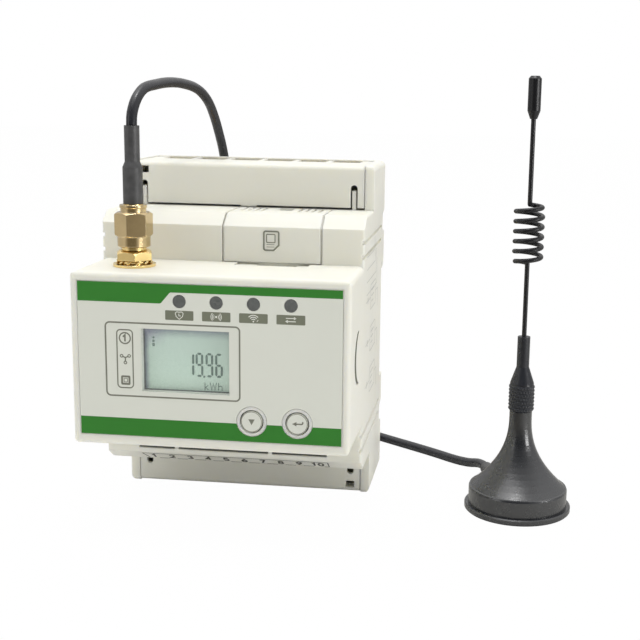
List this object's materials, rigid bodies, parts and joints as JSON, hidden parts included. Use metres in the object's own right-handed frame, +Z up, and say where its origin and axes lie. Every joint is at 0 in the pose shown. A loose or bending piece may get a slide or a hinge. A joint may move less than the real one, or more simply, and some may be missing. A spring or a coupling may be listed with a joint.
{
  "type": "rail mounted energy meter",
  "caption": "Modular rail-mounted energy meter with terminal covers, display, buttons and SIM door, and a magnetic-foot whip antenna on a cable.",
  "frame": {"origin": "middle of the meter's standing face, on the table", "axes": "+X to the right as seen from the front, +Y back towards the rail, +Z up"},
  "size_m": [0.1302, 0.1226, 0.1212],
  "materials": {
    "housing": "fine moulded texture",
    "label": "printed film",
    "lcd_glass": "clear",
    "lcd": "display",
    "lens": "smoked",
    "board": "solder mask",
    "part_black": "moulded",
    "shield": "tinned",
    "card": "plain",
    "copper": "wound and taped",
    "block": "moulded",
    "clamp": "nickel free",
    "screw": "zinc plated",
    "plug_grey": "moulded",
    "clip_black": "moulded",
    "spring": "drawn wire",
    "gold": "gold plated",
    "nut_brass": "plated",
    "boot": "satin",
    "cord": "glossy",
    "tie": "satin",
    "antenna_black": "satin black",
    "magnet": "ferrite",
    "foot_pad": "matt",
    "whip_black": "black coated"
  },
  "bodies": {
    "base": {"front_housing": "housing", "rear_housing": "housing", "front_label": "label", "lcd_window": "lcd_glass", "lcd_module": "lcd", "led_lenses": "lens", "tact_switches": "part_black", "display_board": "board", "main_board": "board", "radio_module": "board", "radio_shield": "shield", "sim_holder": "shield", "sim_card": "card", "power_supply": "part_black", "current_transformers": "copper", "upper_terminal_block": "block", "lower_terminal_block": "block", "upper_clamps": "clamp", "lower_clamps": "clamp", "upper_clamp_screws": "screw", "lower_clamp_screws": "screw", "signal_headers": "block", "signal_plugs": "plug_grey", "signal_screws": "screw", "clip_spring": "spring", "antenna_jack": "gold", "flat_washer": "gold", "star_washer": "gold", "jack_nut": "gold", "plug_body": "gold", "plug_boot": "boot", "cable_front": "cord", "cable_coil": "cord", "cable_rear": "cord", "cable_tie": "tie", "cable_relief": "boot", "antenna_shell": "antenna_black", "antenna_magnet": "magnet", "antenna_foot": "foot_pad", "antenna_stud": "screw"},
    "upper_cover": {"upper_terminal_cover": "housing"},
    "lower_cover": {"lower_terminal_cover": "housing"},
    "door": {"sim_door": "housing"},
    "key_down": {"button_down": "housing"},
    "key_enter": {"button_enter": "housing"},
    "clip": {"din_clip": "clip_black"},
    "coupling": {"coupling_nut": "nut_brass"},
    "whip": {"whip_collar": "whip_black", "whip_ferrule": "whip_black", "whip_wire": "whip_black", "whip_tip": "whip_black"}
  },
  "joints": [
    {"name": "upper_cover_pull", "type": "slide", "parent": "base", "child": "upper_cover", "axis": [0, -1, 0], "range_m": [0, 0.024]},
    {"name": "lower_cover_pull", "type": "slide", "parent": "base", "child": "lower_cover", "axis": [0, -1, 0], "range_m": [0, 0.024]},
    {"name": "sim_door_pull", "type": "slide", "parent": "base", "child": "door", "axis": [0, -1, 0], "range_m": [0, 0.014]},
    {"name": "button_down_press", "type": "slide", "parent": "base", "child": "key_down", "axis": [0, 1, 0], "range_m": [0, 0.0004], "stiffness_N_per_m": 1000},
    {"name": "button_enter_press", "type": "slide", "parent": "base", "child": "key_enter", "axis": [0, 1, 0], "range_m": [0, 0.0004], "stiffness_N_per_m": 1000},
    {"name": "din_clip_slide", "type": "slide", "parent": "base", "child": "clip", "axis": [0, 0, -1], "range_m": [0, 0.004], "stiffness_N_per_m": 1500, "deforming": ["clip_spring"]},
    {"name": "coupling_nut_spin", "type": "hinge", "parent": "base", "child": "coupling", "pos_m": [-0.023, -0.0457, 0.078], "axis": [0, 0, 1], "continuous": true},
    {"name": "whip_unscrew", "type": "hinge", "parent": "base", "child": "whip", "pos_m": [0.0792, -0.0182, 0.033], "axis": [0, 0, 1], "continuous": true}
  ]
}
